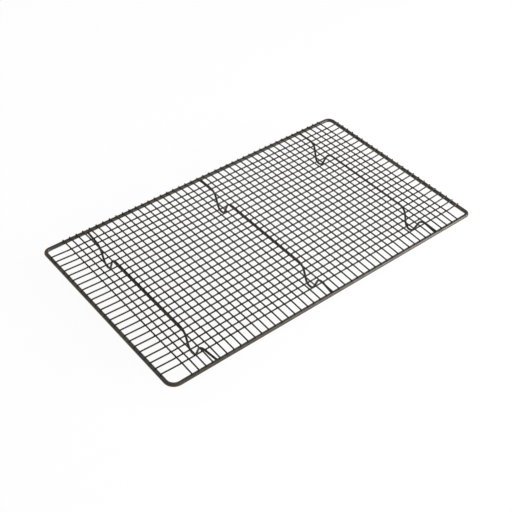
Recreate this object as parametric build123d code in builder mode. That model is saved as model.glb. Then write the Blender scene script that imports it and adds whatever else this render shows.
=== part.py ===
from build123d import *

import math
import os

# Wire cooling rack.
#
# A closed ring of round rod is the frame. A mesh of thin wires is welded on top of it: the long
# wires lie below, and the short wires cross over them. Under the mesh three heavier wires run
# from one long side of the frame to the other, and each of them is folded down into two V feet.
# Every piece is steel wire, welded where it crosses its neighbours, so nothing moves.
#
# X runs along the rack, Y across it and Z up. The origin is on the worktop, under the middle
# of the frame.

# Driving dimensions, in millimetres and degrees
rack_length = 460.4  # over the frame rod
rack_width = 264.9  # over the frame rod
rod_dia = 4.9
corner_radii_left = (11.0, 7.0)  # of the rod's centreline: the corners at -X, from -Y to +Y
corner_radii_right = (6.0, 8.0)  # and the corners at +X, which were bent tighter
frame_height = 25.65  # centre of the frame rod, and of the legs' level runs, above the worktop

wire_dia = 1.8
short_wire_count = 44
short_wire_pitch = 9.475
long_wire_count = 24
long_wire_pitch = 9.707
long_wire_shift = 1.0  # the long wires, as a set, sit this far off the frame's middle
short_wire_shift = 0.8  # and so do the short wires
crowding = (1.4, 0.9, 0.5)  # the first short wires stand this much nearer to their neighbours
wide_gap = 1.1  # the gap after the 24th short wire is this much wider than the others
wire_overhang = 1.3  # a wire's end past the centreline of the rod that it lies on
wire_end_round = 0.45  # the coating rounds a cut end off
settle_run = 4.0  # straight stretch of a wire next to a rod or wire that it lies on
settle_radius = 60.0  # a thin wire's bend where it comes down from the frame

leg_dia = 2.65
foot_spacing = 172.0  # between the two feet of one leg
foot_slope = 69.7  # of a foot's two flanks, from the worktop
foot_bend_radius = 7.7  # at the bottom of a foot
shoulder_bend_radius = 12.0  # where a foot leaves a level run

weld_sink = 0.08  # how far a weld lets one wire into another
leg_end_sink = 0.4  # how far the weld lets a leg's end into the frame rod

# Each leg as it was bent and welded in: its place along X, how far its feet sit off the middle
# along Y, and how far its feet, its end at -Y and its end at +Y lean along X
legs = {
    "leg_left": (-170.7, -1.1, 0.7, 2.8, 1.8),
    "leg_middle": (0.5, -1.6, 1.0, -4.4, -0.1),
    "leg_right": (171.6, -1.2, -2.9, -3.3, -0.7),
}

# Sizes that follow from them
half_length = (rack_length - rod_dia) / 2
half_width = (rack_width - rod_dia) / 2
wire_on_frame = frame_height + rod_dia / 2 + wire_dia / 2 - weld_sink
long_wire_height = frame_height + leg_dia / 2 + wire_dia / 2 - weld_sink
short_wire_height = long_wire_height + wire_dia - weld_sink


def bent_wire(points, radii, diameter, end_round=0.0):
    """Round wire along straight runs joined by tangent bends, with its cut ends rounded."""
    with BuildPart() as wire:
        with BuildLine() as route:
            FilletPolyline(*points, radius=radii)
        with BuildSketch(Plane(origin=route.line @ 0, z_dir=route.line % 0)):
            Circle(diameter / 2)
        sweep(path=route.line)
        if end_round:
            fillet(wire.faces().filter_by(GeomType.PLANE).edges(), end_round)
    return wire


def frame_ring():
    """Frame rod: one closed ring with four rounded corners, as two halves that meet at X = 0."""
    halves = []
    for reach, radii in ((-half_length, corner_radii_left), (half_length, corner_radii_right)):
        corners = [(reach, -half_width, frame_height), (reach, half_width, frame_height)]
        points = [(0, -half_width, frame_height), *corners, (0, half_width, frame_height)]
        halves.append(bent_wire(points, radii, rod_dia))
    with halves[0] as ring:
        add(halves[1].part)
    return ring


def leg(place, foot_shift, foot_lean, near_lean, far_lean):
    """Leg wire: level runs from frame side to frame side, folded down into two V feet."""
    flank = math.radians(foot_slope)
    # A bend takes the bottom of a foot this far above the point where its two flanks would meet
    bend_lift = foot_bend_radius * (1 / math.cos(flank) - 1)
    foot_point = leg_dia / 2 - bend_lift
    foot_half_width = (frame_height - foot_point) / math.tan(flank)
    run_end = half_width - rod_dia / 2 + leg_end_sink
    points = [(place + near_lean, -run_end, frame_height)]
    for middle in (foot_shift - foot_spacing / 2, foot_shift + foot_spacing / 2):
        points += [
            (place, middle - foot_half_width, frame_height),
            (place + foot_lean, middle, foot_point),
            (place, middle + foot_half_width, frame_height),
        ]
    points += [(place + far_lean, run_end, frame_height)]
    foot_radii = [shoulder_bend_radius, foot_bend_radius, shoulder_bend_radius]
    return bent_wire(points, 2 * foot_radii, leg_dia)


def settled_wire(half_reach, low_start, low_end, low_height, across):
    """Mesh wire: its ends lie on the frame, and between them it settles to its own height."""
    heights = [
        (-half_reach, wire_on_frame),
        (settle_run - half_reach, wire_on_frame),
        (low_start - settle_run, low_height),
        (low_end + settle_run, low_height),
        (half_reach - settle_run, wire_on_frame),
        (half_reach, wire_on_frame),
    ]
    if across:
        points = [(0, place, height) for place, height in heights]
    else:
        points = [(place, 0, height) for place, height in heights]
    return bent_wire(points, settle_radius, wire_dia, wire_end_round)


def row_of(count, pitch, middle=0.0):
    """Places of equally spaced wires along one axis."""
    return [middle + (index - (count - 1) / 2) * pitch for index in range(count)]


def placed(wire, places):
    """Copies of one wire as separate solids of one piece."""
    with BuildPart() as group:
        with Locations(*places):
            add(wire.part)
    return group


def write(piece, name):
    """Label a piece and write its STEP."""
    piece.part.label = name
    export_step(piece.part, f"parts/{name}.step")
    solids = piece.part.solids()
    print(name, len(solids), "solids", round(sum(solid.volume for solid in solids), 1), "mm3")


os.makedirs("parts", exist_ok=True)

short_places = row_of(short_wire_count, short_wire_pitch, short_wire_shift)
for index, closer in enumerate(crowding):
    short_places[index] += closer
for index in range(24, short_wire_count):
    short_places[index] += wide_gap
long_places = row_of(long_wire_count, long_wire_pitch, long_wire_shift)

write(frame_ring(), "frame_rod")

for leg_name, as_welded in legs.items():
    write(leg(*as_welded), leg_name)

long_wire = settled_wire(
    half_length + wire_overhang,
    short_places[0],
    short_places[-1],
    long_wire_height,
    across=False,
)
for number, place in enumerate(long_places, start=1):
    write(placed(long_wire, [(0, place, 0)]), f"long_wire_{number:02d}")

short_wire = settled_wire(
    half_width + wire_overhang,
    long_places[0],
    long_places[-1],
    short_wire_height,
    across=True,
)
for number in range(1, short_wire_count, 2):
    pair = [(place, 0, 0) for place in short_places[number - 1 : number + 1]]
    write(placed(short_wire, pair), f"short_wires_{number:02d}_{number + 1:02d}")
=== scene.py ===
"""Wire cooling rack: the looks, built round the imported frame.

A closed ring of round rod carries a welded mesh of thin wires, and three bent leg wires run under
the mesh. Every wire here is a round profile carried along its own centreline, and every weld is a
small nugget of its own. All lengths are in metres, in the frame's own axes: X along the rack,
Y across it and Z up from the worktop.
"""

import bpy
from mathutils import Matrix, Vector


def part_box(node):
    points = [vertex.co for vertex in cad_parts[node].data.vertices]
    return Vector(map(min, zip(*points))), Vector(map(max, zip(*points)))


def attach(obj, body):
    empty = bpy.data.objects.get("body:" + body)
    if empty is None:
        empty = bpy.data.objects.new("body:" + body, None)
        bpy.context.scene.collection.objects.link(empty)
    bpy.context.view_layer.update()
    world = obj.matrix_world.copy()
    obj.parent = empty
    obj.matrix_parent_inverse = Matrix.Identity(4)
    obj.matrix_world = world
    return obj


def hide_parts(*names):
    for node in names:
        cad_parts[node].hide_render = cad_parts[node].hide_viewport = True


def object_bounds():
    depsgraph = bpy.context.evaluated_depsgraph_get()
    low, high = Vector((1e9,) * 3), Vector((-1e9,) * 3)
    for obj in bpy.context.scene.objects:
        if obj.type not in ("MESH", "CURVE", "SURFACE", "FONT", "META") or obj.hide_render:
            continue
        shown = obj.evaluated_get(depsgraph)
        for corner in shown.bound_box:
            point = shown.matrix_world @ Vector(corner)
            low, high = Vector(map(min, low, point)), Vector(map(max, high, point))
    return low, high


bl_info = {
    "name": "Wire Cooling Rack",
    "version": (1, 0, 0),
    "blender": (4, 5, 0),
    "location": "3D View > Sidebar > Cooling Rack",
    "description": "Builds a coated wire cooling rack round its packed frame",
    "category": "Add Mesh",
}

import math

import bpy
import numpy as np
from mathutils import Matrix, Vector

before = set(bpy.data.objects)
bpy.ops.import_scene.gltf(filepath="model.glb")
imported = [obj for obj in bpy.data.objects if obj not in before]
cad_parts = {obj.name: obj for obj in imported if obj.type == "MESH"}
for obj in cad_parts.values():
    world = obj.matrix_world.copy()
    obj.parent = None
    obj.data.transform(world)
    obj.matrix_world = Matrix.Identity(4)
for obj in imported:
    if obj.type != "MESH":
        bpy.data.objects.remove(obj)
cad_low, cad_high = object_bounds()

LONG_NODES = sorted(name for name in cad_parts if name.startswith("long_wire_"))
SHORT_NODES = sorted(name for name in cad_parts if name.startswith("short_wires_"))
LEG_NODES = sorted(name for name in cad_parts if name.startswith("leg_"))

# Points round each kind of wire, and round and up a weld bead
ROD_SIDES = 24
LEG_SIDES = 16
WIRE_SIDES = 12
BEAD_SIDES, BEAD_RINGS = 12, 3
END_BEAD_SIDES, END_BEAD_RINGS = 24, 11

# Points along a bend, and the longest step between the rings of each kind of wire
TIGHT_BEND_STEPS = 13
SLIGHT_BEND_STEPS = 5
ROD_STEP = 0.006
LEG_STEP = 0.005
WIRE_STEP = 0.0065

LEG_MIDDLE = 0.07  # a leg is level this far to either side of the rack's middle
LEG_END_ROUND = 0.0002  # rounding of a leg's ends, which stand in the frame rod


# ---------------------------------------------------------------- reading the frame


def extent(node):
    """Lowest and highest corner of a CAD node, as two arrays."""
    low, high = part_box(node)
    return np.array(low), np.array(high)


def node_points(node):
    """Every vertex of a CAD node's mesh, as rows of X, Y and Z."""
    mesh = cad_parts[node].data
    flat = np.empty(3 * len(mesh.vertices))
    mesh.vertices.foreach_get("co", flat)
    return flat.reshape(-1, 3)


def thickness(node, axis):
    """A CAD node's size along one axis."""
    low, high = extent(node)
    return float(high[axis] - low[axis])


def run_thickness(node):
    """Thickness of a leg wire, from the level run between its two feet."""
    points = node_points(node)
    return float(np.ptp(points[np.abs(points[:, 1]) < LEG_MIDDLE, 0]))


# ---------------------------------------------------------------- sizes and looks


class RackSizes(bpy.types.PropertyGroup):
    """Sizes of the wires and of how they are bent and welded."""

    rod_diameter: bpy.props.FloatProperty(
        name="Frame rod",
        description="Diameter of the frame's rod, coating included",
        default=thickness("frame_rod", 2),
        min=0.001,
        unit="LENGTH",
    )
    wire_diameter: bpy.props.FloatProperty(
        name="Mesh wire",
        description="Diameter of the mesh wires, coating included",
        default=thickness("long_wire_01", 1),
        min=0.0005,
        unit="LENGTH",
    )
    leg_diameter: bpy.props.FloatProperty(
        name="Leg wire",
        description="Diameter of the leg wires, coating included",
        default=run_thickness("leg_left"),
        min=0.001,
        unit="LENGTH",
    )
    corner_radii: bpy.props.FloatVectorProperty(
        name="Frame corners",
        description="Centreline bend radii, anticlockwise from the corner at +X and -Y",
        default=(0.006, 0.008, 0.007, 0.011),
        size=4,
        min=0.003,
        unit="LENGTH",
    )
    foot_slope: bpy.props.FloatProperty(
        name="Foot slope",
        description="Angle of a foot's flanks from the worktop",
        default=math.radians(69.7),
        subtype="ANGLE",
    )
    foot_bend: bpy.props.FloatProperty(
        name="Foot bend",
        description="Bend radius at the bottom of a foot",
        default=0.0077,
        min=0.001,
        unit="LENGTH",
    )
    shoulder_bend: bpy.props.FloatProperty(
        name="Shoulder bend",
        description="Bend radius where a foot leaves the straight run",
        default=0.012,
        min=0.001,
        unit="LENGTH",
    )
    settle_run: bpy.props.FloatProperty(
        name="Settle run",
        description="Straight stretch of a mesh wire beside the rod or wire that it lies on",
        default=0.004,
        unit="LENGTH",
    )
    settle_bend: bpy.props.FloatProperty(
        name="Settle bend",
        description="Bend radius of a mesh wire where it comes off the frame",
        default=0.06,
        unit="LENGTH",
    )
    end_round: bpy.props.FloatProperty(
        name="End rounding",
        description="Radius that the coating gives a cut wire end",
        default=0.00045,
        unit="LENGTH",
    )


class CoatingLook(bpy.types.PropertyGroup):
    """Colour and texture of the baked non-stick coating."""

    # The rod's two tones are set lighter than the wires' tones. This is partly the coating's own
    # colour and partly painted light, standing in for the brighter light on the frame rod's sides.
    rod_colour_with_painted_light: bpy.props.FloatVectorProperty(
        name="Rod colour",
        description="Colour of the frame rod's coating where it is thick",
        default=(0.032, 0.029, 0.022),
        size=3,
        min=0.0,
        max=1.0,
        subtype="COLOR",
    )
    rod_warm_colour_with_painted_light: bpy.props.FloatVectorProperty(
        name="Rod thin colour",
        description="Colour of the frame rod's coating where it was baked thin and browned",
        default=(0.074, 0.055, 0.041),
        size=3,
        min=0.0,
        max=1.0,
        subtype="COLOR",
    )
    leg_colour: bpy.props.FloatVectorProperty(
        name="Leg colour",
        description="Colour of the legs' coating where it is thick",
        default=(0.022, 0.0185, 0.011),
        size=3,
        min=0.0,
        max=1.0,
        subtype="COLOR",
    )
    leg_warm_colour: bpy.props.FloatVectorProperty(
        name="Leg thin colour",
        description="Colour of the legs' coating where it was baked thin and browned",
        default=(0.048, 0.038, 0.022),
        size=3,
        min=0.0,
        max=1.0,
        subtype="COLOR",
    )
    colour: bpy.props.FloatVectorProperty(
        name="Wire colour",
        description="Colour of the wires' coating where it is thick",
        default=(0.013, 0.0102, 0.0052),
        size=3,
        min=0.0,
        max=1.0,
        subtype="COLOR",
    )
    warm_colour: bpy.props.FloatVectorProperty(
        name="Wire thin colour",
        description="Colour of the wires' coating where it was baked thin and browned",
        default=(0.030, 0.0215, 0.0125),
        size=3,
        min=0.0,
        max=1.0,
        subtype="COLOR",
    )
    shine_tint: bpy.props.FloatVectorProperty(
        name="Shine tint",
        description="Warm tint that the coating gives to what it reflects",
        default=(1.0, 0.95, 0.86),
        size=3,
        min=0.0,
        max=1.0,
        subtype="COLOR",
    )
    roughness: bpy.props.FloatProperty(
        name="Roughness",
        description="Roughness of the satin coating",
        default=0.3,
        min=0.0,
        max=1.0,
        subtype="FACTOR",
    )


class StudioLook(bpy.types.PropertyGroup):
    """Camera, floor and light of the plain studio."""

    azimuth: bpy.props.FloatProperty(
        name="Camera azimuth",
        description="Direction that the camera stands in; 0 looks along +Y",
        default=math.radians(-40.357),
        subtype="ANGLE",
    )
    elevation: bpy.props.FloatProperty(
        name="Camera elevation",
        description="Height of the camera above the horizon",
        default=math.radians(42.869),
        subtype="ANGLE",
    )
    roll: bpy.props.FloatProperty(
        name="Camera roll",
        description="How far the camera leans about its line of sight",
        default=math.radians(1.990),
        subtype="ANGLE",
    )
    distance: bpy.props.FloatProperty(
        name="Camera distance",
        description="From the aim to the camera",
        default=1.0992,
        unit="LENGTH",
    )
    aim: bpy.props.FloatVectorProperty(
        name="Camera aim",
        description="Point on the line of sight, measured from the middle of the rack's base",
        default=(-0.03642, -0.03134, 0.02970),
        size=3,
        unit="LENGTH",
    )
    lens: bpy.props.FloatProperty(
        name="Lens",
        description="Focal length on a 36 mm sensor, in millimetres",
        default=65.554,
    )
    floor_colour: bpy.props.FloatVectorProperty(
        name="Floor",
        description="Colour of the plain pale floor",
        default=(0.1, 0.1, 0.1),
        size=3,
        min=0.0,
        max=1.0,
        subtype="COLOR",
    )
    floor_glow: bpy.props.FloatProperty(
        name="Floor glow",
        description="Light that the floor gives off, like a light table's",
        default=0.92,
        min=0.0,
    )
    surround: bpy.props.FloatProperty(
        name="Surround",
        description="Brightness of the studio all round",
        default=0.42,
        min=0.0,
    )


# ---------------------------------------------------------------- surfaces


def bent_route(corners, radii, steps):
    """Centreline of a bent wire: straight runs joined by arcs that touch both runs.

    At a corner where the route turns by an angle a, an arc of radius r starts r tan(a / 2) before
    the corner. Its point at share s of the turn is centre - r cos(s a) inward + r sin(s a) before,
    where inward points from the arc's start to its centre and before is the incoming direction.
    """
    corners = np.asarray(corners, float)
    runs = np.diff(corners, axis=0)
    along = runs / np.linalg.norm(runs, axis=1, keepdims=True)
    before, after = along[:-1], along[1:]
    turn = np.arccos(np.clip((before * after).sum(axis=1), -1.0, 1.0))
    radii = np.broadcast_to(radii, turn.shape)
    start = corners[1:-1] - before * (radii * np.tan(turn / 2))[:, None]
    inward = after - before * np.cos(turn)[:, None]
    inward /= np.linalg.norm(inward, axis=1, keepdims=True)
    centre = start + inward * radii[:, None]
    angle = turn[:, None] * np.linspace(0.0, 1.0, steps)
    reach = radii[:, None, None]
    arcs = centre[:, None] - reach * np.cos(angle)[..., None] * inward[:, None]
    arcs = arcs + reach * np.sin(angle)[..., None] * before[:, None]
    return np.concatenate([corners[:1], arcs.reshape(-1, 3), corners[-1:]])


def lengths_along(route):
    """Distance from the start of a route to each of its points."""
    steps = np.linalg.norm(np.diff(route, axis=0), axis=1)
    return np.concatenate([[0.0], np.cumsum(steps)])


def with_stations(route, spacing):
    """The route's own points and more between them, so that no step is longer than spacing."""
    places = lengths_along(route)
    extra = np.linspace(0.0, places[-1], int(places[-1] / spacing) + 2)
    merged = np.unique(np.round(np.concatenate([places, extra]), 7))
    keep = np.concatenate([[True], np.diff(merged) > spacing / 40])
    at = merged[keep]
    return np.stack([np.interp(at, places, route[:, axis]) for axis in range(3)], axis=1)


def directions(route, closed):
    """Unit direction of the route at each of its points, from its two neighbours."""
    if closed:
        ahead = np.roll(route, -1, axis=0) - np.roll(route, 1, axis=0)
    else:
        ahead = np.gradient(route, axis=0)
    return ahead / np.linalg.norm(ahead, axis=1, keepdims=True)


def ring_quads(rings, sides, closed):
    """Quads between neighbouring rings of points, facing outwards."""
    spans = rings if closed else rings - 1
    ring, side = np.meshgrid(np.arange(spans), np.arange(sides), indexing="ij")
    beside = (side + 1) % sides
    here, following = ring * sides, (ring + 1) % rings * sides
    quads = [here + side, here + beside, following + beside, following + side]
    return np.stack(quads, axis=-1).reshape(-1, 4)


def carried_round(route, radius, sides, closed=False, end_round=0.0, round_steps=4):
    """Round profile carried along a route: points, and faces as a list of arrays.

    A point of a ring is route + r cos(u) side + r sin(u) lift, with side = up x direction and
    lift = direction x side. At an open end the rings close in on a quarter circle of radius
    end_round, and one point closes the end.
    """
    if not closed:
        places = lengths_along(route)
        quarter = np.linspace(0.0, math.pi / 2, round_steps)
        inset = end_round * (1.0 - np.sin(quarter))
        shrink = end_round * (1.0 - np.cos(quarter))
        inner = (places > end_round * 1.2) & (places < places[-1] - end_round * 1.2)
        at = np.concatenate([inset[::-1], places[inner], places[-1] - inset])
        full = np.full(inner.sum(), radius)
        radii = np.concatenate([radius - shrink[::-1], full, radius - shrink])
        route = np.stack([np.interp(at, places, route[:, axis]) for axis in range(3)], axis=1)
    else:
        radii = np.full(len(route), radius)
    along = directions(route, closed)
    side = np.cross([0.0, 0.0, 1.0], along)
    side /= np.linalg.norm(side, axis=1, keepdims=True)
    lift = np.cross(along, side)
    turn = np.linspace(0.0, 2 * math.pi, sides, endpoint=False)
    across, above = np.cos(turn)[None, :, None], np.sin(turn)[None, :, None]
    circle = across * side[:, None] + above * lift[:, None]
    points = (route[:, None] + radii[:, None, None] * circle).reshape(-1, 3)
    faces = [ring_quads(len(route), sides, closed)]
    if not closed:
        first, last = len(points), len(points) + 1
        points = np.concatenate([points, route[:1], route[-1:]])
        rim = np.arange(sides)
        beside = (rim + 1) % sides
        end = (len(route) - 1) * sides
        faces.append(np.stack([np.full(sides, first), beside, rim], axis=1))
        faces.append(np.stack([np.full(sides, last), rim + end, beside + end], axis=1))
    return points, faces


def joined(shapes):
    """Several shapes as one: their points one after the other, their faces counted on."""
    points, faces, count = [], [], 0
    for shape_points, shape_faces in shapes:
        points.append(shape_points)
        faces += [group + count for group in shape_faces]
        count += len(shape_points)
    return np.concatenate(points), faces


def bead(reach_x, reach_y, height, web, sides, rings):
    """Flat, rounded weld bead round the origin, which may reach out between two crossing wires.

    At turn u and rise v it is (x cos v, y cos v, height sin v), with x = (reach_x + web w) cos u
    and y = (reach_y + web w) sin u, where w = sin(2u)^2 is 1 halfway between the two wires.
    """
    turn = np.linspace(0.0, 2 * math.pi, sides, endpoint=False)
    rise = np.linspace(-math.pi / 2, math.pi / 2, rings + 2)[1:-1]
    between = web * np.sin(2 * turn) ** 2
    x, y = (reach_x + between) * np.cos(turn), (reach_y + between) * np.sin(turn)
    outline = np.stack([x, y], axis=-1)
    plan = np.cos(rise)[:, None, None] * outline[None]
    level = np.broadcast_to((height * np.sin(rise))[:, None, None], plan.shape[:2] + (1,))
    points = np.concatenate([plan, level], axis=-1).reshape(-1, 3)
    points = np.concatenate([points, [[0.0, 0.0, -height], [0.0, 0.0, height]]])
    rim = np.arange(sides)
    beside = (rim + 1) % sides
    last = (rings - 1) * sides
    bottom = np.stack([np.full(sides, len(points) - 2), beside, rim], axis=1)
    top = np.stack([np.full(sides, len(points) - 1), rim + last, beside + last], axis=1)
    return points, [ring_quads(rings, sides, False), bottom, top]


def repeated(shape, places):
    """One shape at many places, as whole arrays."""
    points, faces = shape
    places = np.asarray(places, float)
    moved = (points[None] + places[:, None]).reshape(-1, 3)
    counts = np.arange(len(places)) * len(points)
    copies = [(group[None] + counts[:, None, None]).reshape(-1, group.shape[1]) for group in faces]
    return moved, copies


def add_piece(name, shape, material, replaced=()):
    """Mesh object from points and faces, smooth shaded, riding on the frame's one body."""
    points, faces = shape
    mesh = bpy.data.meshes.new(name)
    corners = np.concatenate([group.ravel() for group in faces]).astype(np.int32)
    totals = np.concatenate([np.full(len(group), group.shape[1]) for group in faces])
    totals = totals.astype(np.int32)
    starts = np.concatenate([[0], np.cumsum(totals)[:-1]]).astype(np.int32)
    mesh.vertices.add(len(points))
    mesh.vertices.foreach_set("co", points.astype(np.float32).ravel())
    mesh.loops.add(len(corners))
    mesh.loops.foreach_set("vertex_index", corners)
    mesh.polygons.add(len(totals))
    mesh.polygons.foreach_set("loop_start", starts)
    mesh.polygons.foreach_set("use_smooth", np.ones(len(totals), bool))
    mesh.update(calc_edges=True)
    if mesh.validate():
        raise RuntimeError(f"{name}: the mesh had to be repaired")
    mesh.materials.append(material)
    piece = bpy.data.objects.new(name, mesh)
    bpy.context.scene.collection.objects.link(piece)
    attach(piece, "root")
    if replaced:
        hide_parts(*replaced)
    return piece


# ---------------------------------------------------------------- places read from the frame


def long_places():
    """Y of every long wire, from the frame."""
    return np.array([np.mean([corner[1] for corner in extent(node)]) for node in LONG_NODES])


def short_places(sizes):
    """X of every short wire, from the frame: each node holds two."""
    half = sizes.wire_diameter / 2
    lows = np.array([extent(node)[0][0] for node in SHORT_NODES])
    highs = np.array([extent(node)[1][0] for node in SHORT_NODES])
    return np.stack([lows + half, highs - half], axis=1).ravel()


def wire_heights(node, sizes):
    """Lowest and highest centre height of a mesh wire."""
    low, high = extent(node)
    return low[2] + sizes.wire_diameter / 2, high[2] - sizes.wire_diameter / 2


def frame_half_sizes(sizes):
    """Half length and half width of the frame rod's centreline."""
    low, high = extent("frame_rod")
    return (high[0] - low[0] - sizes.rod_diameter) / 2, (high[1] - low[1] - sizes.rod_diameter) / 2


def rod_height():
    """Height of the frame rod's centreline."""
    low, high = extent("frame_rod")
    return (low[2] + high[2]) / 2


# ---------------------------------------------------------------- centrelines


def frame_route(sizes):
    """Closed centreline of the frame rod: a rectangle with four rounded corners.

    It starts in the middle of the long side at -Y and runs anticlockwise.
    """
    half_length, half_width = frame_half_sizes(sizes)
    height = rod_height()
    corners = [
        (0.0, -half_width, height),
        (half_length, -half_width, height),
        (half_length, half_width, height),
        (-half_length, half_width, height),
        (-half_length, -half_width, height),
        (0.0, -half_width, height),
    ]
    bent = bent_route(corners, np.array(sizes.corner_radii), TIGHT_BEND_STEPS)
    return with_stations(bent, ROD_STEP)[:-1]


def settled_route(low, high, ends_height, middle_height, first, last, sizes, axis):
    """Centreline of a mesh wire that lies on the frame at both ends and settles between them."""
    run = sizes.settle_run
    stops = [low, low + run, first - run, last + run, high - run, high]
    heights = [ends_height, ends_height, middle_height, middle_height, ends_height, ends_height]
    corners = np.zeros((len(stops), 3))
    corners[:, axis] = stops
    corners[:, 2] = heights
    return with_stations(bent_route(corners, sizes.settle_bend, SLIGHT_BEND_STEPS), WIRE_STEP)


def middle_of(points, axis):
    """Middle of the span of some points along one axis."""
    return (points[:, axis].min() + points[:, axis].max()) / 2


def leg_route(node, sizes):
    """Centreline of a leg wire: level runs and two V feet.

    Its places, heights and leans come from the frame's points, its slope and bends from the sizes.
    """
    points = node_points(node)
    low, high = points.min(axis=0), points.max(axis=0)
    half = sizes.leg_diameter / 2
    near = half / 4
    run_height = high[2] - half
    place = middle_of(points[np.abs(points[:, 1]) < LEG_MIDDLE], 0)
    lift = sizes.foot_bend * (1 / math.cos(sizes.foot_slope) - 1)
    point_height = low[2] + half - lift
    half_width = (run_height - point_height) / math.tan(sizes.foot_slope)
    # The bend's bottom leans by less than the point where the two flanks would meet
    lean_share = 1 - lift / (run_height - point_height)
    corners = [(middle_of(points[points[:, 1] < low[1] + near], 0), low[1], run_height)]
    bottom = points[points[:, 2] < low[2] + near]
    for foot in (bottom[bottom[:, 1] < 0], bottom[bottom[:, 1] > 0]):
        across, middle = middle_of(foot, 0), middle_of(foot, 1)
        corners.append((place, middle - half_width, run_height))
        corners.append((place + (across - place) / lean_share, middle, point_height))
        corners.append((place, middle + half_width, run_height))
    corners.append((middle_of(points[points[:, 1] > high[1] - near], 0), high[1], run_height))
    radii = [sizes.shoulder_bend, sizes.foot_bend, sizes.shoulder_bend] * 2
    return with_stations(bent_route(corners, np.array(radii), TIGHT_BEND_STEPS), LEG_STEP)


# ---------------------------------------------------------------- node groups and materials


def new_group(name, inputs, outputs):
    """Empty shader node group with named inputs and outputs; returns it and its two end nodes."""
    group = bpy.data.node_groups.new(name, "ShaderNodeTree")
    for socket_name, kind, default in inputs:
        socket = group.interface.new_socket(name=socket_name, in_out="INPUT", socket_type=kind)
        if default is not None:
            socket.default_value = default
    for socket_name, kind in outputs:
        group.interface.new_socket(name=socket_name, in_out="OUTPUT", socket_type=kind)
    return group, group.nodes.new("NodeGroupInput"), group.nodes.new("NodeGroupOutput")


def noise(nodes, links, vector, scale, detail=2.0, roughness=0.5):
    """Noise texture node on a vector; scale is in turns per metre."""
    node = nodes.new("ShaderNodeTexNoise")
    node.inputs["Scale"].default_value = scale
    node.inputs["Detail"].default_value = detail
    node.inputs["Roughness"].default_value = roughness
    links.new(vector, node.inputs["Vector"])
    return node.outputs["Fac"]


def spread(nodes, links, value, low, high):
    """Map Range node: value between low and high becomes 0 to 1, smoothed and clamped."""
    node = nodes.new("ShaderNodeMapRange")
    node.interpolation_type = "SMOOTHSTEP"
    node.inputs["From Min"].default_value = low
    node.inputs["From Max"].default_value = high
    links.new(value, node.inputs["Value"])
    return node.outputs["Result"]


def blended(nodes, links, kind, first, second, share):
    """Mix of two colours or numbers; each of the three is a socket or a value."""
    node = nodes.new("ShaderNodeMix")
    node.data_type = kind
    index = {"FLOAT": (2, 3, 0), "RGBA": (6, 7, 2)}[kind]
    values = {index[0]: first, index[1]: second, 0: share}
    for number, value in values.items():
        socket = node.inputs[number]
        if isinstance(value, bpy.types.NodeSocket):
            links.new(value, socket)
        elif kind == "RGBA" and number:
            socket.default_value = (*value, 1.0)
        else:
            socket.default_value = value
    return node.outputs[index[2]]


def sprayed_grain_group():
    """Sprayed Grain: the fine texture of a sprayed and baked coating.

    Height blends a fine grain with a soft orange peel about a millimetre across, by Peel.
    """
    found = bpy.data.node_groups.get("Sprayed Grain")
    if found:
        return found
    inputs = [("Vector", "NodeSocketVector", None), ("Peel", "NodeSocketFloat", 1.0)]
    outputs = [("Height", "NodeSocketFloat")]
    group, source, result = new_group("Sprayed Grain", inputs, outputs)
    nodes, links = group.nodes, group.links
    peel = noise(nodes, links, source.outputs["Vector"], scale=900.0, detail=1.0)
    grain = noise(nodes, links, source.outputs["Vector"], scale=4500.0, roughness=0.6)
    height = blended(nodes, links, "FLOAT", grain, peel, source.outputs["Peel"])
    links.new(height, result.inputs["Height"])
    return group


def baked_tint_group():
    """Baked Tint: slow colour change of a coating that was baked a little unevenly.

    Thin is high where the coating is thin, in soft patches a few centimetres long. Rubbed is high
    in patches along the tops of the wires, which hands and pans rub, as much as Rub gives.
    """
    found = bpy.data.node_groups.get("Baked Tint")
    if found:
        return found
    inputs = [("Vector", "NodeSocketVector", None), ("Rub", "NodeSocketFloat", 0.3)]
    outputs = [("Thin", "NodeSocketFloat"), ("Rubbed", "NodeSocketFloat")]
    group, source, result = new_group("Baked Tint", inputs, outputs)
    nodes, links = group.nodes, group.links
    slow = noise(nodes, links, source.outputs["Vector"], scale=38.0)
    patch = noise(nodes, links, source.outputs["Vector"], scale=210.0, detail=3.0, roughness=0.6)
    both = blended(nodes, links, "FLOAT", slow, patch, share=0.4)
    links.new(spread(nodes, links, both, low=0.42, high=0.66), result.inputs["Thin"])
    geometry = nodes.new("ShaderNodeNewGeometry")
    split = nodes.new("ShaderNodeSeparateXYZ")
    links.new(geometry.outputs["Normal"], split.inputs["Vector"])
    top = spread(nodes, links, split.outputs["Z"], low=0.75, high=1.0)
    worn = spread(nodes, links, patch, low=0.45, high=0.7)
    product = nodes.new("ShaderNodeMath")
    product.operation = "MULTIPLY"
    links.new(top, product.inputs[0])
    links.new(worn, product.inputs[1])
    scaled = nodes.new("ShaderNodeMath")
    scaled.operation = "MULTIPLY"
    links.new(product.outputs["Value"], scaled.inputs[0])
    links.new(source.outputs["Rub"], scaled.inputs[1])
    links.new(scaled.outputs["Value"], result.inputs["Rubbed"])
    return group


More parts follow.
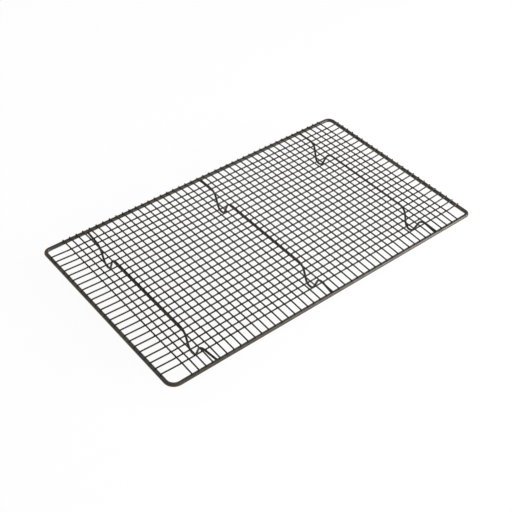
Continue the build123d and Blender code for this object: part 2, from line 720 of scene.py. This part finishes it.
def coating(name, look, tones, shine, peel, rub, grain_depth):
    """Satin non-stick coating on steel: Principled BSDF fed by the two shared groups.

    Tones are the thick and the thin coating's colours, and shine is the specular level. The name
    differs from every slot's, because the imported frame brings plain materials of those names.
    """
    found = bpy.data.materials.get(name)
    if found:
        return found
    material = bpy.data.materials.new(name)
    material.use_nodes = True
    nodes, links = material.node_tree.nodes, material.node_tree.links
    nodes.clear()
    shader = nodes.new("ShaderNodeBsdfPrincipled")
    result = nodes.new("ShaderNodeOutputMaterial")
    links.new(shader.outputs["BSDF"], result.inputs["Surface"])
    place = nodes.new("ShaderNodeTexCoord").outputs["Object"]
    grain = nodes.new("ShaderNodeGroup")
    grain.node_tree = sprayed_grain_group()
    grain.inputs["Peel"].default_value = peel
    links.new(place, grain.inputs["Vector"])
    tint = nodes.new("ShaderNodeGroup")
    tint.node_tree = baked_tint_group()
    tint.inputs["Rub"].default_value = rub
    links.new(place, tint.inputs["Vector"])
    colour = blended(nodes, links, "RGBA", tones[0], tones[1], tint.outputs["Thin"])
    links.new(colour, shader.inputs["Base Color"])
    # The grain's peaks are smoother than its hollows, and a rubbed crest is smoother still
    peak, hollow = look.roughness - 0.05, look.roughness + 0.07
    crest = peak - 0.06
    grained = blended(nodes, links, "FLOAT", hollow, peak, grain.outputs["Height"])
    rubbed = blended(nodes, links, "FLOAT", grained, crest, tint.outputs["Rubbed"])
    links.new(rubbed, shader.inputs["Roughness"])
    bump = nodes.new("ShaderNodeBump")
    bump.inputs["Strength"].default_value = 0.35
    bump.inputs["Distance"].default_value = grain_depth
    links.new(grain.outputs["Height"], bump.inputs["Height"])
    links.new(bump.outputs["Normal"], shader.inputs["Normal"])
    shader.inputs["Specular IOR Level"].default_value = shine
    shader.inputs["Specular Tint"].default_value = (*look.shine_tint, 1.0)
    return material


def frame_coating(look):
    """Coating on the frame rod: thickest, with the most orange peel, and rubbed on top."""
    # These tones carry painted light: they are lighter than the wires' to stand in for the light
    # that falls on the rod.
    tones = (look.rod_colour_with_painted_light, look.rod_warm_colour_with_painted_light)
    return coating(
        "baked_frame_rod", look, tones, shine=0.5, peel=0.7, rub=0.5, grain_depth=0.00006
    )


def mesh_coating(look):
    """Coating on the mesh wires and their welds: thin, with little peel."""
    tones = (look.colour, look.warm_colour)
    return coating(
        "baked_mesh_wire", look, tones, shine=0.35, peel=0.3, rub=0.7, grain_depth=0.00003
    )


def leg_coating(look):
    """Coating on the leg wires: dull, and a little browner."""
    tones = (look.leg_colour, look.leg_warm_colour)
    return coating(
        "baked_leg_wire", look, tones, shine=0.12, peel=0.5, rub=0.2, grain_depth=0.00004
    )


def floor_material(studio):
    """Plain pale floor, open to a view from below."""
    material = bpy.data.materials.new("pale_floor")
    material.use_nodes = True
    nodes, links = material.node_tree.nodes, material.node_tree.links
    nodes.clear()
    shader = nodes.new("ShaderNodeBsdfPrincipled")
    shader.inputs["Base Color"].default_value = (*studio.floor_colour, 1.0)
    shader.inputs["Roughness"].default_value = 0.9
    shader.inputs["Specular IOR Level"].default_value = 0.0
    shader.inputs["Emission Color"].default_value = (1.0, 1.0, 1.0, 1.0)
    shader.inputs["Emission Strength"].default_value = studio.floor_glow
    clear = nodes.new("ShaderNodeBsdfTransparent")
    side = nodes.new("ShaderNodeNewGeometry")
    mix = nodes.new("ShaderNodeMixShader")
    result = nodes.new("ShaderNodeOutputMaterial")
    links.new(side.outputs["Backfacing"], mix.inputs[0])
    links.new(shader.outputs["BSDF"], mix.inputs[1])
    links.new(clear.outputs["BSDF"], mix.inputs[2])
    links.new(mix.outputs["Shader"], result.inputs["Surface"])
    return material


# ---------------------------------------------------------------- operators


class RACK_OT_stage(bpy.types.Operator):
    """Set up the floor, the soft light and the camera"""

    bl_idname = "rack.stage"
    bl_label = "Studio"

    def execute(self, context):
        studio = context.scene.rack_studio
        self.add_floor(studio)
        self.add_lights(context, studio)
        self.add_camera(context, studio)
        return {"FINISHED"}

    def add_floor(self, studio):
        """Floor: one large flat sheet just under the feet."""
        half, gap = 4.0, 0.00005
        z = cad_low.z - gap
        corners = [(-half, -half, z), (half, -half, z), (half, half, z), (-half, half, z)]
        mesh = bpy.data.meshes.new("floor")
        mesh.from_pydata(corners, [], [(0, 1, 2, 3)])
        mesh.materials.append(floor_material(studio))
        floor = bpy.data.objects.new("floor", mesh)
        bpy.context.scene.collection.objects.link(floor)

    def add_lights(self, context, studio):
        """A pale surround and three soft panels: one high at -X +Y, and two at +X -Y."""
        world = bpy.data.worlds.new("studio")
        world.use_nodes = True
        surround = world.node_tree.nodes["Background"]
        surround.inputs["Color"].default_value = (1.0, 1.0, 1.0, 1.0)
        surround.inputs["Strength"].default_value = studio.surround
        context.scene.world = world
        context.scene.view_settings.view_transform = "Standard"
        self.add_panel("key_panel", place=(-0.5, 0.6, 1.1), size=(0.9, 0.9), power=2.0)
        self.add_panel("front_panel", place=(1.2, -1.25, 0.43), size=(0.9, 0.3), power=22.0)
        self.add_panel("side_panel", place=(0.56, -0.65, 0.78), size=(0.5, 0.5), power=4.0)

    def add_panel(self, name, place, size, power):
        """Rectangular area light that faces the rack."""
        light = bpy.data.lights.new(name, "AREA")
        light.shape = "RECTANGLE"
        light.size, light.size_y = size
        light.energy = power
        panel = bpy.data.objects.new(name, light)
        panel.location = place
        panel.rotation_euler = (-Vector(place)).to_track_quat("-Z", "Y").to_euler()
        bpy.context.scene.collection.objects.link(panel)

    def add_camera(self, context, studio):
        """Camera on a sphere round the aim, leaning by the roll."""
        turn, rise = studio.azimuth, studio.elevation
        level = math.cos(rise)
        back = Vector((math.sin(turn) * level, -math.cos(turn) * level, math.sin(rise)))
        level_right = Vector((math.cos(turn), math.sin(turn), 0.0))
        level_up = back.cross(level_right)
        right = level_right * math.cos(studio.roll) + level_up * math.sin(studio.roll)
        up = back.cross(right)
        base = Vector(((cad_low.x + cad_high.x) / 2, (cad_low.y + cad_high.y) / 2, cad_low.z))
        place = base + Vector(studio.aim) + back * studio.distance
        data = bpy.data.cameras.new("camera")
        data.lens = studio.lens
        data.sensor_width = 36.0
        camera = bpy.data.objects.new("camera", data)
        turned = Matrix((right, up, back)).transposed().to_4x4()
        camera.matrix_world = Matrix.Translation(place) @ turned
        context.scene.collection.objects.link(camera)
        context.scene.camera = camera


class RACK_OT_frame_rod(bpy.types.Operator):
    """Build the frame: one closed ring of round rod"""

    bl_idname = "rack.frame_rod"
    bl_label = "Frame rod"

    def execute(self, context):
        sizes = context.scene.rack_sizes
        shape = carried_round(frame_route(sizes), sizes.rod_diameter / 2, ROD_SIDES, closed=True)
        material = frame_coating(context.scene.rack_coating)
        add_piece("frame_ring", shape, material, ["frame_rod"])
        return {"FINISHED"}


class RACK_OT_legs(bpy.types.Operator):
    """Build the three bent leg wires"""

    bl_idname = "rack.legs"
    bl_label = "Leg wires"

    def execute(self, context):
        sizes = context.scene.rack_sizes
        material = leg_coating(context.scene.rack_coating)
        for node in LEG_NODES:
            route, radius = leg_route(node, sizes), sizes.leg_diameter / 2
            shape = carried_round(route, radius, LEG_SIDES, end_round=LEG_END_ROUND)
            add_piece(f"{node}_wire", shape, material, [node])
        return {"FINISHED"}


class RACK_OT_long_wires(bpy.types.Operator):
    """Build the long mesh wires, the lower layer"""

    bl_idname = "rack.long_wires"
    bl_label = "Long wires"

    def execute(self, context):
        sizes = context.scene.rack_sizes
        material = mesh_coating(context.scene.rack_coating)
        across = short_places(sizes)
        radius = sizes.wire_diameter / 2
        for node, place in zip(LONG_NODES, long_places()):
            low, high = extent(node)
            middle, ends = wire_heights(node, sizes)
            route = settled_route(low[0], high[0], ends, middle, across[0], across[-1], sizes, 0)
            route[:, 1] = place
            shape = carried_round(route, radius, WIRE_SIDES, end_round=sizes.end_round)
            add_piece(f"{node}_drawn", shape, material, [node])
        return {"FINISHED"}


class RACK_OT_short_wires(bpy.types.Operator):
    """Build the short mesh wires, the upper layer, two to a piece"""

    bl_idname = "rack.short_wires"
    bl_label = "Short wires"

    def execute(self, context):
        sizes = context.scene.rack_sizes
        material = mesh_coating(context.scene.rack_coating)
        along = long_places()
        pairs = short_places(sizes).reshape(-1, 2)
        radius = sizes.wire_diameter / 2
        for node, pair in zip(SHORT_NODES, pairs):
            low, high = extent(node)
            ends, middle = wire_heights(node, sizes)
            route = settled_route(low[1], high[1], ends, middle, along[0], along[-1], sizes, 1)
            wires = []
            for place in pair:
                wire = route + np.array([place, 0.0, 0.0])
                wires.append(carried_round(wire, radius, WIRE_SIDES, end_round=sizes.end_round))
            add_piece(f"{node}_drawn", joined(wires), material, [node])
        return {"FINISHED"}


class RACK_OT_crossing_welds(bpy.types.Operator):
    """Build the welds where the mesh wires cross each other"""

    bl_idname = "rack.crossing_welds"
    bl_label = "Crossing welds"

    def execute(self, context):
        sizes = context.scene.rack_sizes
        wire = sizes.wire_diameter
        below = wire_heights(LONG_NODES[0], sizes)[0]
        above = wire_heights(SHORT_NODES[0], sizes)[1]
        contact = (below + above) / 2
        x, y = np.meshgrid(short_places(sizes), long_places())
        places = np.stack([x.ravel(), y.ravel(), np.full(x.size, contact)], axis=1)
        reach, height, web = 0.55 * wire, 0.26 * wire, 0.25 * wire
        shape = repeated(bead(reach, reach, height, web, BEAD_SIDES, BEAD_RINGS), places)
        material = mesh_coating(context.scene.rack_coating)
        add_piece("crossing_welds", shape, material)
        return {"FINISHED"}


class RACK_OT_seat_welds(bpy.types.Operator):
    """Build the welds that hold the mesh wires' ends on the frame rod"""

    bl_idname = "rack.seat_welds"
    bl_label = "Seat welds"

    def execute(self, context):
        sizes = context.scene.rack_sizes
        wire = sizes.wire_diameter
        half_length, half_width = frame_half_sizes(sizes)
        crest = rod_height() + sizes.rod_diameter / 2 - 0.1 * wire
        along, across = short_places(sizes), long_places()
        long_ends = [(side * half_length, y, crest) for side in (-1, 1) for y in across]
        short_ends = [(x, side * half_width, crest) for side in (-1, 1) for x in along]
        lengthwise, sideways, height, web = 0.8 * wire, 0.9 * wire, 0.36 * wire, 0.0
        shapes = [
            repeated(bead(lengthwise, sideways, height, web, BEAD_SIDES, BEAD_RINGS), long_ends),
            repeated(bead(sideways, lengthwise, height, web, BEAD_SIDES, BEAD_RINGS), short_ends),
        ]
        material = mesh_coating(context.scene.rack_coating)
        add_piece("seat_welds", joined(shapes), material)
        return {"FINISHED"}


class RACK_OT_leg_welds(bpy.types.Operator):
    """Build the welds that hold the leg wires under the mesh and to the frame rod"""

    bl_idname = "rack.leg_welds"
    bl_label = "Leg welds"

    def execute(self, context):
        sizes = context.scene.rack_sizes
        wire, leg = sizes.wire_diameter, sizes.leg_diameter
        rod = sizes.rod_diameter / 2
        half_width = frame_half_sizes(sizes)[1]
        rounding = 0.00005
        under, ends = [], []
        for node in LEG_NODES:
            route = leg_route(node, sizes)
            run_height = route[0, 2]
            across = long_places()
            height = np.interp(across, route[:, 1], route[:, 2])
            x = np.interp(across, route[:, 1], route[:, 0])
            level = height > run_height - rounding
            contact = np.full(level.sum(), run_height + leg / 2 - 0.06 * wire)
            under.append(np.stack([x[level], across[level], contact], axis=1))
            ends.append((route[0, 0], rod - half_width, run_height))
            ends.append((route[-1, 0], half_width - rod, run_height))
        material = leg_coating(context.scene.rack_coating)
        reach_x, reach_y, height, web = 0.85 * wire, 0.7 * wire, 0.3 * wire, 0.2 * wire
        nugget = bead(reach_x, reach_y, height, web, BEAD_SIDES, BEAD_RINGS)
        shape = repeated(nugget, np.concatenate(under))
        add_piece("leg_crossing_welds", shape, material)
        reach_x, reach_y, height, web = 0.68 * leg, 0.3 * leg, 0.64 * leg, 0.0
        collar = bead(reach_x, reach_y, height, web, END_BEAD_SIDES, END_BEAD_RINGS)
        add_piece("leg_end_welds", repeated(collar, ends), material)
        return {"FINISHED"}


class RACK_PT_panel(bpy.types.Panel):
    """Sidebar panel with the rack's sizes and one button for each group of pieces"""

    bl_idname = "RACK_PT_panel"
    bl_label = "Cooling Rack"
    bl_space_type = "VIEW_3D"
    bl_region_type = "UI"
    bl_category = "Cooling Rack"

    def draw(self, context):
        scene = context.scene
        for group in (scene.rack_sizes, scene.rack_coating, scene.rack_studio):
            box = self.layout.box()
            for name in group.__annotations__:
                box.prop(group, name)
        for operator in OPERATORS:
            self.layout.operator(operator.bl_idname)


OPERATORS = [
    RACK_OT_stage,
    RACK_OT_frame_rod,
    RACK_OT_legs,
    RACK_OT_long_wires,
    RACK_OT_short_wires,
    RACK_OT_crossing_welds,
    RACK_OT_seat_welds,
    RACK_OT_leg_welds,
]
CLASSES = [RackSizes, CoatingLook, StudioLook, *OPERATORS, RACK_PT_panel]


def register():
    """Register the classes and hang the three property groups on the scene."""
    for each in CLASSES:
        bpy.utils.register_class(each)
    bpy.types.Scene.rack_sizes = bpy.props.PointerProperty(type=RackSizes)
    bpy.types.Scene.rack_coating = bpy.props.PointerProperty(type=CoatingLook)
    bpy.types.Scene.rack_studio = bpy.props.PointerProperty(type=StudioLook)


def unregister():
    """Take the property groups and the classes away again."""
    del bpy.types.Scene.rack_sizes
    del bpy.types.Scene.rack_coating
    del bpy.types.Scene.rack_studio
    for each in reversed(CLASSES):
        bpy.utils.unregister_class(each)


def main():
    """Build the rack and its studio."""
    register()
    bpy.ops.rack.stage()
    bpy.ops.rack.frame_rod()
    bpy.ops.rack.legs()
    bpy.ops.rack.long_wires()
    bpy.ops.rack.short_wires()
    bpy.ops.rack.crossing_welds()
    bpy.ops.rack.seat_welds()
    bpy.ops.rack.leg_welds()


if __name__ == "__main__":
    main()
